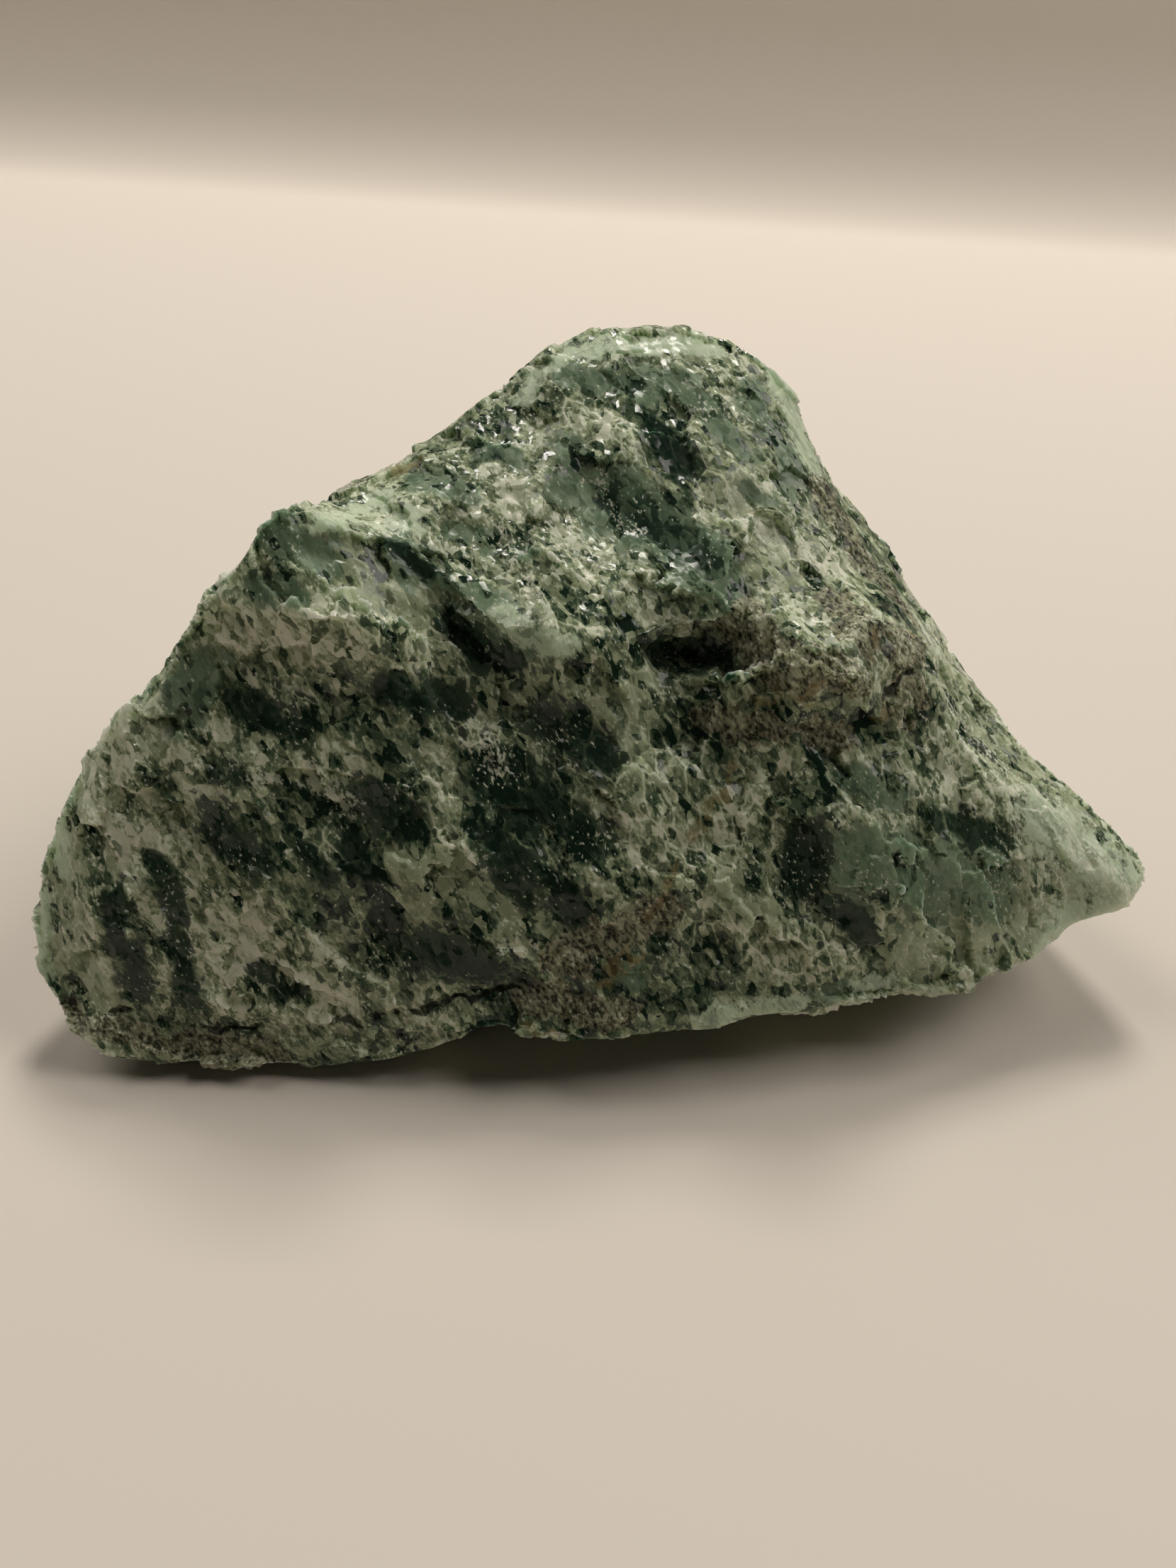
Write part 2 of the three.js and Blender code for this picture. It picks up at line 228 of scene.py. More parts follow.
        ((-39, -33.5, 3.5), (-29, -33, 3), 1.6),
        ((-4, -28.5, 13.5), (4, -26.5, 17.5), 2.3),
        ((-7.5, -30, 10), (1.5, -31, 9), 1.6),
    ],
    # Black earthy cracks.
    "crack": [
        ((-50, -31, 6.5), (-35.5, -32, 4.7), 0.45),
        ((-35.5, -32, 4.7), (-21.5, -31.5, 6.5), 0.4),
        ((-21.5, -31.5, 6.5), (-7.5, -29, 10.5), 0.45),
        ((21.5, -14.5, 32.5), (25, -11, 34.5), 0.5),
    ],
    # Veins and spots of yellow-brown iron stain.
    "rust": [
        ((25.5, -7, 36), (22, -13.5, 31.5), 0.7),
        ((21.5, -11.5, 38), (15, -16, 33.5), 0.6),
        ((10.5, -16, 33), (16, -16, 36), 0.5),
        ((8, -20.5, 26), (4, -25.5, 19.5), 0.6),
        ((4, -25.5, 19.5), (0, -29.5, 12), 0.5),
        ((10, -18, 28), (7.5, -21.5, 24.5), 0.5),
        ((-22.5, -1, 45.5), (-20.5, -0.5, 46.5), 0.8),
        ((-7, -32, 8), (-4.5, -32, 7.5), 0.6),
        ((-2, -29.5, 10), (2.5, -28, 14), 0.5),
    ],
    # Splinters along the grain that catch the light. Their coat paints white glints on them.
    "splinters_and_glints": [
        ((-8, -4, 45), (-6.5, -5.5, 43.5), 1.1),
        ((-4.5, -1, 46.5), (-3.5, -2, 46), 0.8),
        ((-6, -5.5, 43), (-3, -9, 42), 1.2),
        ((-3, -3, 45), (1, -6, 43), 0.6),
        ((-13, -2, 46), (-11, -3.5, 45), 1),
        ((42, -13, 19.5), (50, -15.5, 13), 2.2),
        ((-12.5, -6.5, 43), (-8.5, -13, 40.5), 1),
        ((27, -7, 33), (40, -13, 22), 1.6),
        ((-13, -18.5, 30.5), (-11, -20.5, 27.5), 1.3),
    ],
    # Darker parts, where little is bruised. Along the lower middle, under the overhanging front, the
    # darkening is painted shade.
    "dark_body_and_painted_shade": [
        ((-28, -24, 25), (-20, -25, 24), 4),
        ((-24, -27, 18), (-10, -29, 11), 5),
        ((-8, -29, 11), (9, -28, 10), 7),
        ((8, -17, 30), (21, -15, 29), 4),
        ((16, 3, 45), (28, -4, 35), 4),
    ],
    # Paler parts, bruised all over. On the right side and the tip the paleness is painted light, where
    # that side is lit more.
    "pale_body_and_painted_light": [
        ((-20, -8, 45), (-10, -2, 47), 4),
        ((-37, -16, 40), (-25, -17, 39), 4),
        ((-43, -26, 20), (-36, -28, 13), 5),
        ((20, -22, 20), (38, -17, 16), 6),
        ((10, -2, 45), (17, -3, 41), 4),
        ((36, -12, 24), (50, -15, 14), 8),
        ((28, -4, 34), (48, -11, 19), 4),
        ((18, -26, 11), (46, -17, 12), 6),
        ((-48, -25, 22), (-49, -30, 6), 6),
        ((-42, -20, 29), (-30, -21, 28), 5),
        ((-36, -30, 12), (-26, -31, 10), 4),
    ],
}

# How bruised each kind of stroke is, from -1 to 1, and how much of what lies below shows through.
STROKE_LEVELS = (
    ("veils", 0.2, 0.7),
    # The mint rims: pale, and partly painted glow.
    ("mint_and_glow", 0.1, 0.4),
    ("satin_and_sheen", 0.08, 0.4),
    ("frost", 0.44, 0.6),
    ("green_glass", -0.2, 0.4),
    ("dark_glass", -0.5, 0.4),
)


def linear(hex_colour):
    """An sRGB hex colour as linear red, green, blue."""
    channels = [int(hex_colour[i : i + 2], 16) / 255 for i in (1, 3, 5)]
    return tuple(c / 12.92 if c <= 0.04045 else ((c + 0.055) / 1.055) ** 2.4 for c in channels)


def per_mm(size):
    """The texture scale at which one feature measures size millimetres on Object coordinates."""
    return 1 / (size * MM)


# Selection and modifiers


def select_only(piece):
    """Selects the piece and nothing else, and makes it the active one."""
    bpy.ops.object.select_all(action="DESELECT")
    piece.select_set(True)
    bpy.context.view_layer.objects.active = piece


def apply_modifier(piece, kind, **settings):
    """Adds a modifier with its settings to the piece, and applies it."""
    select_only(piece)
    bpy.ops.object.modifier_add(type=kind)
    modifier = piece.modifiers[-1]
    for name, value in settings.items():
        setattr(modifier, name, value)
    bpy.ops.object.modifier_apply(modifier=modifier.name)


# Repeatable random patterns


def lattice_random(cubes, seed):
    """One random number from 0 to 1 for each whole-number cube. The multipliers are large odd
    numbers, so that neighbouring cubes get unlike numbers."""
    mixed = cubes[:, 0] * 73856093 ^ cubes[:, 1] * 19349663 ^ cubes[:, 2] * 83492791 ^ seed * 40503
    for shift in (15, 13, 16):
        mixed = (mixed ^ mixed >> shift) * 668265261 & 0xFFFFFFFF
    return mixed / 0xFFFFFFFF


def noise(points, seed):
    """Smooth random numbers from -1 to 1 that change over about one unit."""
    cubes = np.floor(points).astype(np.int64)
    part = points - cubes
    part = part * part * (3 - 2 * part)
    total = np.zeros(len(points))
    for corner in itertools.product((0, 1), repeat=3):
        weight = np.prod(np.where(corner, part, 1 - part), axis=1)
        total += weight * lattice_random(cubes + corner, seed)
    return 2 * total - 1


def rough_noise(points, octaves, seed):
    """Noise with finer and fainter noise on it, each octave half the size of the last."""
    return sum(noise(points * 2**i, seed + i) / 2**i for i in range(octaves))


def wander(points, seed, octaves=3):
    """A random direction at each point, for outlines that wander."""
    return np.stack([rough_noise(points, octaves, seed + 10 * axis) for axis in range(3)], axis=1)


def nearest_cells(points, seed):
    """The cell that each point lies in, of one random cell to a unit cube, and how far its border is."""
    far_away = 9.0
    base = np.floor(points).astype(np.int64)
    best = np.full(len(points), far_away)
    second = best.copy()
    cells = base.copy()
    for step in itertools.product((-1, 0, 1), repeat=3):
        cubes = base + step
        centres = cubes + np.stack([lattice_random(cubes, seed + axis) for axis in range(3)], axis=1)
        distance = np.linalg.norm(centres - points, axis=1)
        closer = distance < best
        second = np.where(closer, best, np.minimum(second, distance))
        best = np.where(closer, distance, best)
        cells[closer] = cubes[closer]
    return cells, second - best


# Shape of the stone


def unit(vectors):
    """The vectors at length 1."""
    return vectors / np.maximum(np.linalg.norm(vectors, axis=1, keepdims=True), 1e-9)


def along_grain(points, stretch):
    """Points squeezed along the grain, so that a pattern on them comes out stretched."""
    grain = np.array(GRAIN)
    return points + np.outer(points @ grain, grain) * (1 / stretch - 1)


def mean_of(values, group, count):
    """The mean value of each group."""
    return np.stack([np.bincount(group, values[:, axis]) for axis in range(3)], axis=1) / count[:, None]


def chips(points, normals, size, stretch, ragged, lift, tilt, most, seed):
    """Flat chips of a broken face, of a size in millimetres and longer along the grain by stretch.
    Each has a ragged outline, stands out or lies back up to lift, leans up to tilt, and moves a point
    by most at the most. Gives how far each point moves to its chip's plane, the chip's random number,
    and how far the chip's edge is in chip sizes."""
    # The normal is part of the place, so that a chip ends where the surface turns.
    place = along_grain(points, stretch) / size + 0.5 * normals
    place += ragged * wander(place * 2, seed + 50)
    cells, border = nearest_cells(place, seed)
    cells, group = np.unique(cells, axis=0, return_inverse=True)
    group = group.ravel()
    count = np.bincount(group)
    centre = mean_of(points, group, count)
    facing = unit(mean_of(normals, group, count))
    lean = np.stack([lattice_random(cells, seed + 20 + axis) for axis in range(3)], axis=1) - 0.5
    facing = unit(facing + 2 * tilt * lean)
    height = (lattice_random(cells, seed + 30) - 0.5) * 2 * lift
    to_plane = np.einsum("ij,ij->i", centre[group] - points, facing[group]) + height[group]
    to_plane /= np.maximum(np.einsum("ij,ij->i", facing[group], normals), 0.5)
    return np.clip(to_plane, -most, most / 2), lattice_random(cells, seed + 40)[group], border


def inside(points, strokes):
    """How deep each point lies in the nearest stroke: 1 on its line, 0 at its edge, down to -1."""
    deepest = np.full(len(points), -1.0)
    for start, end, half_width in strokes:
        start, end = np.array(start, float), np.array(end, float)
        line = end - start
        share = np.clip((points - start) @ line / (line @ line), 0, 1)
        distance = np.linalg.norm(points - start - share[:, None] * line, axis=1)
        deepest = np.maximum(deepest, 1 - distance / half_width)
    return deepest


def surface_of(piece):
    """The piece's points in millimetres, and its normals."""
    mesh = piece.data
    points = np.empty(len(mesh.vertices) * 3, np.float32)
    normals = points.copy()
    mesh.vertices.foreach_get("co", points)
    mesh.vertex_normals.foreach_get("vector", normals)
    return points.reshape(-1, 3).astype(float) / MM, normals.reshape(-1, 3).astype(float)


def store(piece, name, values):
    """Keeps one value for each point of the piece, for its material to read."""
    attribute = piece.data.attributes.new(name, "FLOAT", "POINT")
    attribute.data.foreach_set("value", np.ascontiguousarray(values, np.float32))


def share_inside(depth, soft):
    """0 outside a stroke and 1 inside it, turning over within soft of its edge."""
    share = np.clip(depth / (2 * soft) + 0.5, 0, 1)
    return share * share * (3 - 2 * share)


def frostiness(points, tones, depths):
    """How bruised the surface is: -1 in dark glass, 1 in white powder. The tones are the random
    numbers of the plates, chips and flakes, from 0 to 1."""
    plate, chip, flake = (2 * tone - 1 for tone in tones)
    cloud_size = 3
    cloud = rough_noise(points / cloud_size, 4, 700)
    frost = 0.17 * plate + 0.14 * chip + 0.08 * flake + 0.14 * cloud
    # Darker where little is bruised, and painted shade along the lower middle, under the overhang.
    frost -= 0.3 * share_inside(depths["dark_body_and_painted_shade"], 0.5)
    # Paler where bruised all over, and painted light on the right side and the tip.
    frost += 0.28 * share_inside(depths["pale_body_and_painted_light"], 0.5)
    # The edge of a stroke follows the chips, some of which lie inside it and some outside.
    for kind, level, kept in STROKE_LEVELS:
        share = share_inside(depths[kind] + 0.12 * chip, 0.2)
        frost += (level + kept * (frost - level) - frost) * share
    return frost


def stroke_depths(points, normals):
    """How deep each point lies in the strokes of each kind, whose outlines wander. The back has no
    strokes of its own, so clear and cloudy patches lie on it at random."""
    wave = 1.6
    wandering = points + 0.7 * wander(along_grain(points, wave) / wave, 900, 4)
    depths = {kind: inside(wandering, strokes) for kind, strokes in STROKES.items()}
    patch_size = 5
    back = np.clip(-4 * normals @ FRONT, 0, 1)
    for seed, kind in enumerate(("dark_glass", "green_glass", "satin_and_sheen")):
        patch = 2.5 * noise(along_grain(points, GRAIN_STRETCH) / patch_size, 980 + seed) - 0.9
        depths[kind] = np.maximum(depths[kind], patch - 2 * (1 - back))
    return depths


def store_layers(piece, points, frost, rims, crust, depths):
    """Keeps what lies where as attributes for the material. A layer lies where its value is over 0."""
    bruises = 0.5 * share_inside(depths["frost"], 0.5) + 0.4 * noise(points / 4, 970)
    # More flecks of powder lie where the fluorite is bruised.
    flecks = 0.4 * rough_noise(points / 3, 3, 950) - 0.8 + 0.4 * np.clip(frost, -0.4, 0.6)
    store(piece, "frost", frost + 0.3 * rims)
    store(piece, "veils", np.maximum(share_inside(depths["veils"], 0.5), bruises))
    store(piece, "crust", 2 * crust - 1)
    store(piece, "flecks", flecks)
    store(piece, "dust", depths["dust"] - 0.45)
    store(piece, "splinters_and_glints", depths["splinters_and_glints"] - 0.6)
    for kind in ("dark_glass", "green_glass", "satin_and_sheen", "mint_and_glow", "rust", "crack"):
        store(piece, kind, depths[kind])


def break_surface(piece, look):
    """Moves the smooth copy's points into plates, chips, splinters and grit, and keeps what lies
    where as attributes for the material. All sizes are in millimetres."""
    points, normals = surface_of(piece)
    rest = points.copy()
    depths = stroke_depths(points, normals)
    crust_grain = 0.9
    crust = share_inside(depths["crust"] + 0.4 * noise(points / crust_grain, 910), 0.3)

    plate_move, plate_tone, plate_edge = chips(
        points, normals, size=4.2, stretch=1.9, ragged=0.16, lift=0.35, tilt=0.14, most=0.7, seed=100,
    )
    chip_move, chip_tone, chip_edge = chips(
        points, normals, size=1.8, stretch=1.8, ragged=0.16, lift=0.1, tilt=0.12, most=0.25, seed=200,
    )
    flake_move, flake_tone, _ = chips(
        points, normals, size=0.8, stretch=1.5, ragged=0.15, lift=0.03, tilt=0.1, most=0.08, seed=300,
    )
    frost = frostiness(rest, (plate_tone, chip_tone, flake_tone), depths)

    # Bruised parts are the roughest, and the clear rims are smooth.
    rough = np.clip(0.5 + frost, 0.1, 1) * (1 - 0.85 * share_inside(depths["mint_and_glow"], 0.4))
    move = chip_move * rough
    move += plate_move * np.clip(0.4 + rough, 0, 1)
    move += flake_move * np.clip(rough + crust, 0, 1)
    points += normals * move[:, None]

    frost_height, blade_height, grit_height, crack_depth = 0.08, 0.12, 0.3, 0.2
    blade_width, blade_stretch = 0.75, 6
    splinters_and_glints = share_inside(depths["splinters_and_glints"], 0.4)
    blades = 1 - 2 * np.abs(noise(along_grain(points, blade_stretch) / blade_width, 500))
    grit = np.abs(rough_noise(points / crust_grain, 3, 600))
    rise = frost_height * np.clip(2.5 * frost, -1, 1)
    rise += blade_height * splinters_and_glints * blades
    rise += grit_height * crust * (grit - 0.25)
    rise -= crack_depth * share_inside(depths["crack"], 0.3)
    points += normals * rise[:, None]

    resting = rest[:, 2] < look.foot_height / MM
    points[resting] = rest[resting]
    points[:, 2] = np.maximum(points[:, 2], 0)
    piece.data.vertices.foreach_set("co", (points * MM).astype(np.float32).ravel())
    piece.data.update()

    # The rims of the plates and chips are bruised.
    plate_rim = np.clip(1 - plate_edge / 0.12, 0, 1)
    chip_rim = np.clip(1 - chip_edge / 0.2, 0, 1)
    rims = np.maximum(plate_rim, 0.7 * chip_rim)
    store_layers(piece, points, frost, rims, crust, depths)


# Materials


def add(tree, kind, inputs=None, **settings):
    """Adds a shader node with its settings. An input is a value, or a node or an output to link."""
    node = tree.nodes.new(kind)
    for name, value in settings.items():
        setattr(node, name, value)
    for name, value in (inputs or {}).items():
        if isinstance(value, bpy.types.Node):
            value = value.outputs[0]
        if isinstance(value, bpy.types.NodeSocket):
            tree.links.new(value, node.inputs[name])
        else:
            node.inputs[name].default_value = value
    return node


def new_material(name):
    """A material with an empty node tree, and that tree."""
    material = bpy.data.materials.new(name)
    material.use_nodes = True
    material.node_tree.nodes.clear()
    return material, material.node_tree


def colour_steps(tree, value, stops):
    """A colour ramp over value, with its stops as (position, linear colour)."""
    ramp = add(tree, "ShaderNodeValToRGB", {"Fac": value})
    elements = ramp.color_ramp.elements
    while len(elements) < len(stops):
        elements.new(0.5)
    for element, (position, colour) in zip(elements, stops):
        element.position = position
        element.color = (*colour, 1)
    return ramp


def cleavage_facets(tree, place, sizes_and_slopes):
    """Small facets at several sizes in millimetres, each leaning its own way up to a slope: their
    height, and for each size a random colour to each facet."""
    height = 0.0
    tones = []
    for size, slope in sizes_and_slopes:
        cells = add(tree, "ShaderNodeTexVoronoi", {"Vector": place, "Scale": per_mm(size)})
        offset = add(
            tree, "ShaderNodeVectorMath", {0: place, 1: cells.outputs["Position"]}, operation="SUBTRACT",
        )
        lean = add(
            tree, "ShaderNodeVectorMath", {0: cells.outputs["Color"], 1: (0.5, 0.5, 0.5)},
            operation="SUBTRACT",
        )
        rise = add(tree, "ShaderNodeVectorMath", {0: offset, 1: lean}, operation="DOT_PRODUCT")
        height = add(
            tree, "ShaderNodeMath", {0: rise.outputs["Value"], 1: 2 * slope, 2: height},
            operation="MULTIPLY_ADD",
        )
        tones.append(cells.outputs["Color"])
    return height, tones


def fluorite_patterns(tree):
    """The height of the small facets, and the patterns of the broken fluorite by name. Places that
    are bruised alike are 2.4 mm wide as patches and 0.7 mm as speckles, and facets are 2.2 and 0.6 mm.
    Real grains of crushed fluorite are about 0.1 mm. Their grit is drawn 0.3 mm wide, so that it
    shows."""
    wide_facet, small_facet = 2.2, 0.6
    place = add(tree, "ShaderNodeTexCoord").outputs["Object"]
    turned = GRAIN.to_track_quat("Z", "Y").to_euler()
    grained = add(
        tree, "ShaderNodeMapping",
        {"Vector": place, "Rotation": turned, "Scale": (1, 1, GRAIN_STRETCH)}, vector_type="TEXTURE",
    )
    patterns = {}
    for name, size, detail in (("patches", 2.4, 2.0), ("speckles", 0.7, 3.0), ("grit", 0.3, 1.0)):
        patterns[name] = add(
            tree, "ShaderNodeTexNoise",
            {"Vector": grained, "Scale": per_mm(size), "Detail": detail, "Roughness": 0.7},
        )
    # The edges of the facets wander by up to 0.35 mm, in waves of 0.8 mm.
    wander_reach = (0.35 * MM, 0.35 * MM, 0.35 * MM)
    waves = add(tree, "ShaderNodeTexNoise", {"Vector": grained, "Scale": per_mm(0.8), "Detail": 0.0})
    ragged = add(
        tree, "ShaderNodeVectorMath", {0: waves.outputs["Color"], 1: wander_reach, 2: grained},
        operation="MULTIPLY_ADD",
    )
    height, (wide, small) = cleavage_facets(tree, ragged, ((wide_facet, 0.12), (small_facet, 0.35)))
    patterns["wide_facets"] = wide
    patterns["small_facets"] = small
    patterns["shards"] = add(tree, "ShaderNodeMix", {0: 0.5, 2: wide, 3: small})
    patterns["facet_edges"] = add(
        tree, "ShaderNodeTexVoronoi", {"Vector": ragged, "Scale": per_mm(wide_facet)},
        feature="DISTANCE_TO_EDGE",
    )
    return height, patterns


def bruised_share(tree, patterns):
    """How bruised each spot is, from 0 to 1, with the thin bright lines of healed cracks where
    there are veils."""
    bruised = add(tree, "ShaderNodeAttribute", attribute_name="frost").outputs["Fac"]
    for name, weight in (
        ("patches", 0.4), ("speckles", 0.8), ("grit", 0.9), ("wide_facets", 0.8), ("small_facets", 1.2),
    ):
        centred = add(tree, "ShaderNodeMath", {0: patterns[name], 1: 0.5}, operation="SUBTRACT")
        bruised = add(
            tree, "ShaderNodeMath", {0: centred, 1: weight, 2: bruised}, operation="MULTIPLY_ADD",
        )
    veils = add(tree, "ShaderNodeAttribute", attribute_name="veils").outputs["Fac"]
    line = add(
        tree, "ShaderNodeMapRange",
        {"Value": patterns["facet_edges"], "From Max": 0.07, "To Min": 0.6, "To Max": 0.0},
    )
    veiled = add(
        tree, "ShaderNodeMath", {0: patterns["patches"], 1: 0.9, 2: veils}, operation="MULTIPLY_ADD",
    )
    veiled = add(
        tree, "ShaderNodeMapRange", {"Value": veiled, "From Min": 0.45, "From Max": 0.9},
    )
    bruised = add(
        tree, "ShaderNodeMath", {0: line, 1: veiled, 2: bruised}, operation="MULTIPLY_ADD",
    )
    return add(tree, "ShaderNodeMapRange", {"Value": bruised, "From Min": -1, "From Max": 1})


def lay_coats(tree, look, patterns, colour):
    """Lays cleavages, crust, stain, powder and soil over the colour of the broken fluorite, each
    where its attribute says, with a ragged edge. Gives the colour, how matt it is and how smooth."""
    grains = add(tree, "ShaderNodeMix", {0: 0.5, 2: patterns["speckles"], 3: patterns["grit"]})
    earth = colour_steps(tree, grains, (
        (0.43, look.earth), (0.48, look.crust), (0.58, look.crust_pale),
    ))
    matt = 0.0
    smooth = 0.0
    # The attribute, the pattern that its edge follows and how far, how much of what is below it
    # hides, how matt and how smooth it is, and its colour.
    for name, pattern, ragging, cover, mattness, smoothness, coat in (
        # The satin plates: cloudy, and partly painted sheen.
        ("satin_and_sheen", "shards", 3.0, 0.75, 0.0, 0.4, (*look.pale, 1)),
        ("green_glass", "shards", 2.6, 0.8, 0.15, 0.6, (*look.clear, 1)),
        ("dark_glass", "shards", 3.2, 0.9, 0.0, 0.3, (*look.deep, 1)),
        # The mint rims: a pale colour that is partly painted glow of the light coming through them.
        ("mint_and_glow", "speckles", 2.4, 0.85, 0.0, 0.8, (*look.mint_and_glow, 1)),
        # The splinters: fine white specks, painted glints where they catch the light.
        ("splinters_and_glints", "grit", 6.0, 0.65, 0.0, 0.0, (*look.powder, 1)),
        ("crust", "patches", 3.0, 0.75, 0.5, 0.0, earth),
        ("rust", "speckles", 2.8, 0.5, 0.5, 0.0, (*look.rust, 1)),
        ("dust", "speckles", 4.6, 0.7, 0.8, 0.0, (*look.powder, 1)),
        ("flecks", "grit", 4.6, 0.75, 0.8, 0.0, (*look.powder, 1)),
        ("crack", "speckles", 2.6, 0.85, 1.0, 0.0, (*look.soil, 1)),
    ):
        depth = add(tree, "ShaderNodeAttribute", attribute_name=name).outputs["Fac"]
        centred = add(tree, "ShaderNodeMath", {0: patterns[pattern], 1: 0.5}, operation="SUBTRACT")
        depth = add(
            tree, "ShaderNodeMath", {0: centred, 1: ragging, 2: depth}, operation="MULTIPLY_ADD",
        )
        where = add(
            tree, "ShaderNodeMapRange",
            {"Value": depth, "From Min": -0.1, "From Max": 0.35, "To Max": cover},
            interpolation_type="SMOOTHSTEP",
        )
        colour = add(
            tree, "ShaderNodeMix", {0: where, 6: colour, 7: coat}, data_type="RGBA",
        ).outputs[2]
        matt_here = add(tree, "ShaderNodeMath", {0: where, 1: mattness}, operation="MULTIPLY")
        matt = add(tree, "ShaderNodeMath", {0: matt_here, 1: matt}, operation="MAXIMUM")
        smooth_here = add(tree, "ShaderNodeMath", {0: where, 1: smoothness}, operation="MULTIPLY")
        smooth = add(tree, "ShaderNodeMath", {0: smooth_here, 1: smooth}, operation="MAXIMUM")
    return colour, matt, smooth


def massive_fluorite(look):
    """Massive green fluorite, cleaved by hammer. A clean cleavage is dark glass that the eye sees
    into; a bruised one is full of cracks that scatter the light, so it is pale and glitters."""
    material, tree = new_material("massive_green_fluorite")
    height, patterns = fluorite_patterns(tree)
    share = bruised_share(tree, patterns)
    colour = colour_steps(tree, share, (
        (0.24, look.deep), (0.33, look.shade), (0.42, look.shade), (0.46, look.green),
        (0.56, look.green), (0.6, look.pale), (0.7, look.pale), (0.76, look.frost), (0.95, look.powder),
    ))
    colour, matt, smooth = lay_coats(tree, look, patterns, colour)

    # The small facets are plain to see where it is bruised, and faint on the smooth coats.
    facets = add(
        tree, "ShaderNodeMapRange", {"Value": share, "From Min": 0.2, "From Max": 0.7, "To Min": 0.4},
    )
    facets = add(tree, "ShaderNodeMix", {0: smooth, 2: facets, 3: 0.1})
    bump = add(tree, "ShaderNodeBump", {"Strength": facets, "Distance": 1.0, "Height": height})

    # A clean cleavage is glossy and clear. A bruised one is duller and cloudy, and powder and earth
    # are matt and let nothing through.
    gloss = add(
        tree, "ShaderNodeMapRange",
        {"Value": share, "From Min": 0.3, "From Max": 0.9, "To Min": 0.14, "To Max": 0.25},
    )
    clear = add(
        tree, "ShaderNodeMapRange",
        {"Value": share, "From Min": 0.25, "From Max": 0.55, "To Min": 0.4, "To Max": 0.0},
    )
    # The IOR is that of fluorite. The fine cracks in its surface halve what it mirrors, and light
    # goes about 3 mm deep into its cloudy parts and comes out green.
    surface = add(
        tree, "ShaderNodeBsdfPrincipled",
        {
            "Base Color": colour, "Normal": bump, "IOR": 1.434, "Specular IOR Level": 0.25,
            "Subsurface Weight": 0.6,
            "Subsurface Radius": (0.8, 1.0, 0.85), "Subsurface Scale": 3 * MM,
            "Roughness": add(tree, "ShaderNodeMix", {0: matt, 2: gloss, 3: 0.85}),
            "Transmission Weight": add(tree, "ShaderNodeMix", {0: matt, 2: clear, 3: 0.0}),
        },
    )
    within = add(
        tree, "ShaderNodeVolumeAbsorption",
        {"Color": (*look.depth, 1), "Density": look.absorption},
    )
    add(tree, "ShaderNodeOutputMaterial", {"Surface": surface, "Volume": within})
    return material


def plain_paint(name, colour):
    """Matt wall paint: even, without gloss."""
    material, tree = new_material(name)
    surface = add(tree, "ShaderNodeBsdfPrincipled", {"Base Color": (*colour, 1), "Roughness": 0.9})
    add(tree, "ShaderNodeOutputMaterial", {"Surface": surface.outputs["BSDF"]})
    return material


class FluoriteStoneLook(PropertyGroup):
    """Sizes and colours of the stone."""

    voxel: FloatProperty(
        name="Voxel", description="Spacing of the points that the surface is broken from",
        default=0.32 * MM, unit="LENGTH", subtype="DISTANCE",
    )
    foot_height: FloatProperty(
        name="Foot height", description="Below this the resting face keeps its flat shape",
        default=0.3 * MM, unit="LENGTH", subtype="DISTANCE",
    )
    triangles: IntProperty(
        name="Triangles", description="The most triangles that the stone keeps", default=196_000,
    )
    crisp: FloatProperty(
        name="Crisp edges", description="Edges that bend more than this stay sharp",
        default=math.radians(28), subtype="ANGLE", unit="ROTATION",
    )
    deep: FloatVectorProperty(
        name="Deep green", description="Clean cleavages that show the depth", subtype="COLOR",
        default=linear("#1e3527"),
    )
    clear: FloatVectorProperty(
        name="Clear green", description="Clean cleavages lit from within", subtype="COLOR",
        default=linear("#6b8269"),
    )
    shade: FloatVectorProperty(
        name="Shaded green", description="Hazy cleavages", subtype="COLOR", default=linear("#566750"),
    )
    green: FloatVectorProperty(
        name="Green", description="Ordinary broken fluorite", subtype="COLOR", default=linear("#788468"),
    )
    pale: FloatVectorProperty(
        name="Pale green", description="Cloudy fluorite", subtype="COLOR", default=linear("#a2ab8b"),
    )
    frost: FloatVectorProperty(
        name="Frost", description="Bruised fluorite", subtype="COLOR", default=linear("#cad1b6"),
    )
    powder: FloatVectorProperty(
        name="Powder", description="Fluorite crushed to powder", subtype="COLOR",
        default=linear("#e0e2cc"),
    )
    # The pale rim colour is partly painted glow, of the light that comes through the thin rims.
    mint_and_glow: FloatVectorProperty(
        name="Mint", description="Thin clear rims", subtype="COLOR", default=linear("#c8d6ba"),
    )
    crust: FloatVectorProperty(
        name="Crust", description="Earthy crust", subtype="COLOR", default=linear("#7d7961"),
    )
    crust_pale: FloatVectorProperty(
        name="Pale crust", description="Pale grains in the crust", subtype="COLOR",
        default=linear("#aca98e"),
    )
    earth: FloatVectorProperty(
        name="Earth", description="Dark earth in the crust", subtype="COLOR", default=linear("#2f2a1c"),
    )
    rust: FloatVectorProperty(
        name="Iron stain", description="Yellow-brown veins", subtype="COLOR", default=linear("#8f7c4c"),
    )
    soil: FloatVectorProperty(
        name="Soil", description="Black filling of the cracks", subtype="COLOR",
        default=linear("#14110c"),
    )
    depth: FloatVectorProperty(
        name="Depth", description="What is left of white light after a way through the fluorite",
        subtype="COLOR", default=linear("#74b588"),
    )
    absorption: FloatProperty(
        name="Absorption", description="How much light the fluorite takes up, to the metre", default=90,
    )


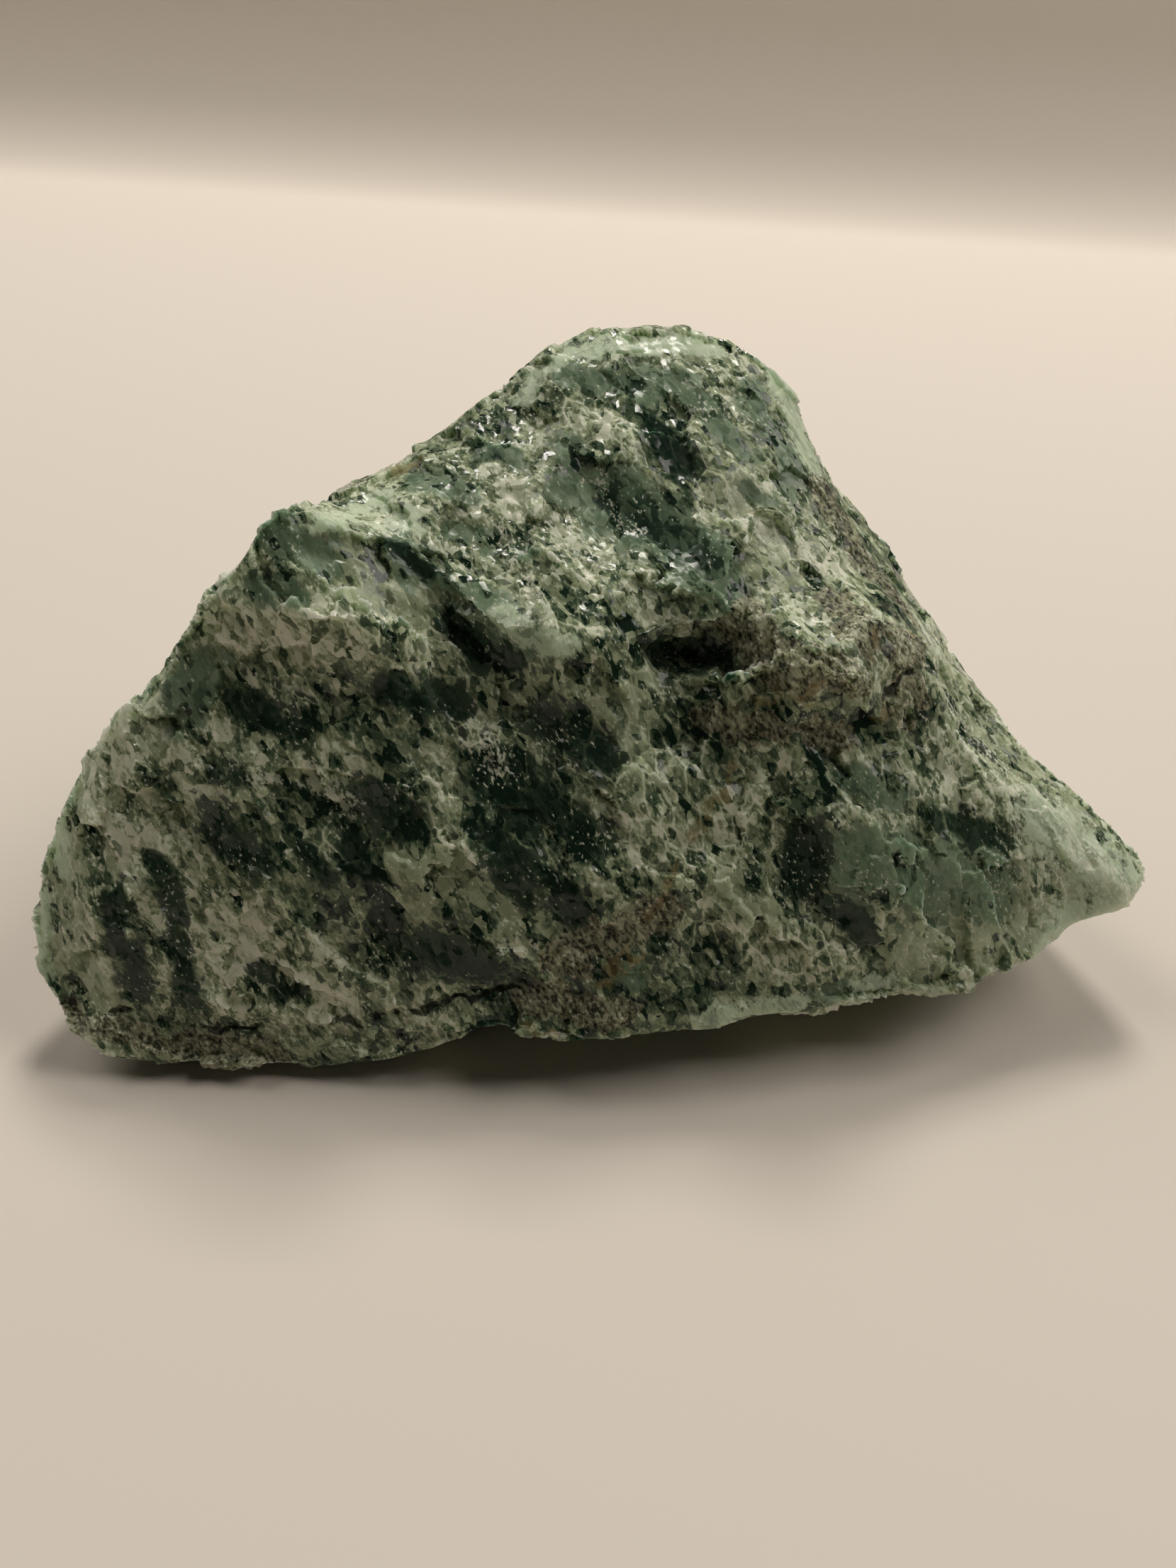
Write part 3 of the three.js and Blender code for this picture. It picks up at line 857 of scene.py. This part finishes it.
class FLUORITE_OT_stone(Operator):
    """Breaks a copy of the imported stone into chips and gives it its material"""

    bl_idname = "fluorite.stone"
    bl_label = "Broken stone"

    def execute(self, context):
        look = context.scene.fluorite_stone
        stone = bpy.data.objects.new(STONE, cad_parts[CAD_NODE].data.copy())
        context.scene.collection.objects.link(stone)
        select_only(stone)
        bpy.ops.object.mode_set(mode="EDIT")
        bpy.ops.mesh.select_all(action="SELECT")
        bpy.ops.mesh.remove_doubles(threshold=1e-6)
        bpy.ops.object.mode_set(mode="OBJECT")
        # Many even points, without the steps that the voxels leave, are broken and then thinned.
        apply_modifier(stone, "REMESH", mode="VOXEL", voxel_size=look.voxel)
        apply_modifier(stone, "SMOOTH", factor=0.5, iterations=8)
        break_surface(stone, look)
        stone.data.calc_loop_triangles()
        share = look.triangles / len(stone.data.loop_triangles)
        apply_modifier(stone, "DECIMATE", ratio=min(share, 1), use_collapse_triangulate=True)
        select_only(stone)
        bpy.ops.object.shade_smooth_by_angle(angle=look.crisp)
        stone.data.materials.clear()
        stone.data.materials.append(massive_fluorite(look))
        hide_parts(CAD_NODE)
        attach(stone, "root")
        return {"FINISHED"}


class FluoriteStageLook(PropertyGroup):
    """Sizes and colours of the studio."""

    table_depth: FloatProperty(
        name="Table depth", description="How far the table reaches behind the stone",
        default=300 * MM, unit="LENGTH", subtype="DISTANCE",
    )
    table: FloatVectorProperty(
        name="Table", description="Plain pale table and wall", subtype="COLOR",
        default=linear("#dcd3c8"),
    )
    light: FloatVectorProperty(
        name="Light", description="Colour of the soft lights", subtype="COLOR", default=(1, 0.95, 0.88),
    )
    aim: FloatVectorProperty(
        name="Aim of the lights", description="The place on the table that the lights face",
        default=(0, 50 * MM, 0), subtype="TRANSLATION", unit="LENGTH",
    )
    camera_place: FloatVectorProperty(
        name="Camera place", description="Where the photograph was taken from",
        default=(-3.1 * MM, -104 * MM, 92 * MM), subtype="TRANSLATION", unit="LENGTH",
    )
    camera_tilt: FloatProperty(
        name="Camera tilt", description="How far below the horizon the camera looks",
        default=math.radians(38), subtype="ANGLE", unit="ROTATION",
    )
    camera_roll: FloatProperty(
        name="Camera roll", description="How far the camera leans over",
        default=math.radians(4), subtype="ANGLE", unit="ROTATION",
    )
    lens: FloatProperty(
        name="Lens", description="Focal length in millimetres for a 36 mm long side", default=28,
    )


class FLUORITE_OT_stage(Operator):
    """Makes the plain table, the soft lights and the camera"""

    bl_idname = "fluorite.stage"
    bl_label = "Table, lights and camera"

    def execute(self, context):
        look = context.scene.fluorite_stage
        self.make_table(look)
        self.make_lights(context, look)
        self.make_camera(context, look)
        return {"FINISHED"}

    def make_table(self, look):
        """A flat table that curves up into a wall behind the stone, in one sheet. It reaches front
        metres towards the viewer, and the wall is low so that the lights behind it reach the table."""
        width, front, wall, bend = 2.4, 0.6, 0.15, 0.05
        bpy.ops.object.select_all(action="DESELECT")
        bpy.ops.mesh.primitive_plane_add(size=1, location=(0, 0, 0))
        table = bpy.context.object
        table.name = "studio_table"
        length = front + look.table_depth + bend
        bpy.ops.transform.resize(value=(width, length, 1))
        bpy.ops.transform.translate(value=(0, look.table_depth + bend - length / 2, 0))
        bpy.ops.object.transform_apply(location=True, rotation=True, scale=True)
        bpy.ops.object.mode_set(mode="EDIT")
        bpy.ops.mesh.select_mode(type="EDGE")
        bpy.ops.mesh.select_all(action="DESELECT")
        bpy.ops.object.mode_set(mode="OBJECT")
        mesh = table.data
        for edge in mesh.edges:
            edge.select = all(mesh.vertices[i].co.y > look.table_depth for i in edge.vertices)
        bpy.ops.object.mode_set(mode="EDIT")
        bpy.ops.mesh.extrude_region_move(TRANSFORM_OT_translate={"value": (0, 0, wall)})
        bpy.ops.object.mode_set(mode="OBJECT")
        for edge in mesh.edges:
            edge.select = all(
                mesh.vertices[i].co.y > look.table_depth and mesh.vertices[i].co.z < wall / 2
                for i in edge.vertices
            )
        bpy.ops.object.mode_set(mode="EDIT")
        bpy.ops.mesh.bevel(offset=bend, segments=12)
        bpy.ops.object.mode_set(mode="OBJECT")
        select_only(table)
        bpy.ops.object.shade_smooth()
        mesh.materials.append(plain_paint("matt_table_paint", look.table))

    def make_lights(self, context, look):
        """Soft lights at both sides and behind, with their place and size in metres and their power
        in watts, and the faint light of the air."""
        for name, place, size, power in (
            ("left_softbox", (-0.55, 0.25, 0.75), 0.5, 2.8),
            ("right_softbox", (0.6, 0.15, 0.7), 0.5, 3.9),
            ("ceiling_lamp", (0, 0.5, 0.8), 0.2, 4),
        ):
            bpy.ops.object.light_add(type="AREA", location=place)
            light = context.object
            light.name = name
            light.data.energy = power
            light.data.size = size
            light.data.color = look.light
            way = Vector(place) - Vector(look.aim)
            light.rotation_euler = way.to_track_quat("Z", "Y").to_euler()
        world = bpy.data.worlds.new("studio_air")
        world.use_nodes = True
        background = world.node_tree.nodes["Background"]
        background.inputs["Color"].default_value = (1, 0.96, 0.9, 1)
        background.inputs["Strength"].default_value = 0.02
        context.scene.world = world
        context.scene.view_settings.view_transform = "Standard"

    def make_camera(self, context, look):
        """The camera looks down on the front of the stone, from close by."""
        turn = Matrix.Rotation(math.pi / 2 - look.camera_tilt, 3, "X")
        turn = turn @ Matrix.Rotation(look.camera_roll, 3, "Z")
        bpy.ops.object.camera_add(location=look.camera_place, rotation=turn.to_euler())
        camera = context.object
        camera.name = "photo_camera"
        camera.data.sensor_width = 36
        camera.data.lens = look.lens
        camera.data.clip_start = 0.005
        context.scene.camera = camera


class FLUORITE_PT_panel(Panel):
    """Lists the parts of the specimen that can be made."""

    bl_label = "Fluorite"
    bl_idname = "FLUORITE_PT_panel"
    bl_space_type = "VIEW_3D"
    bl_region_type = "UI"
    bl_category = "Fluorite"

    def draw(self, context):
        for group, operator in (
            (context.scene.fluorite_stage, FLUORITE_OT_stage),
            (context.scene.fluorite_stone, FLUORITE_OT_stone),
        ):
            box = self.layout.box()
            for name in group.bl_rna.properties.keys():
                if name not in ("name", "rna_type"):
                    box.prop(group, name)
            box.operator(operator.bl_idname)


CLASSES = (
    FluoriteStoneLook,
    FluoriteStageLook,
    FLUORITE_OT_stage,
    FLUORITE_OT_stone,
    FLUORITE_PT_panel,
)


def register():
    for cls in CLASSES:
        bpy.utils.register_class(cls)
    bpy.types.Scene.fluorite_stone = PointerProperty(type=FluoriteStoneLook)
    bpy.types.Scene.fluorite_stage = PointerProperty(type=FluoriteStageLook)


def unregister():
    del bpy.types.Scene.fluorite_stage
    del bpy.types.Scene.fluorite_stone
    for cls in reversed(CLASSES):
        bpy.utils.unregister_class(cls)


def main():
    register()
    bpy.ops.fluorite.stage()
    bpy.ops.fluorite.stone()


if __name__ == "__main__":
    main()
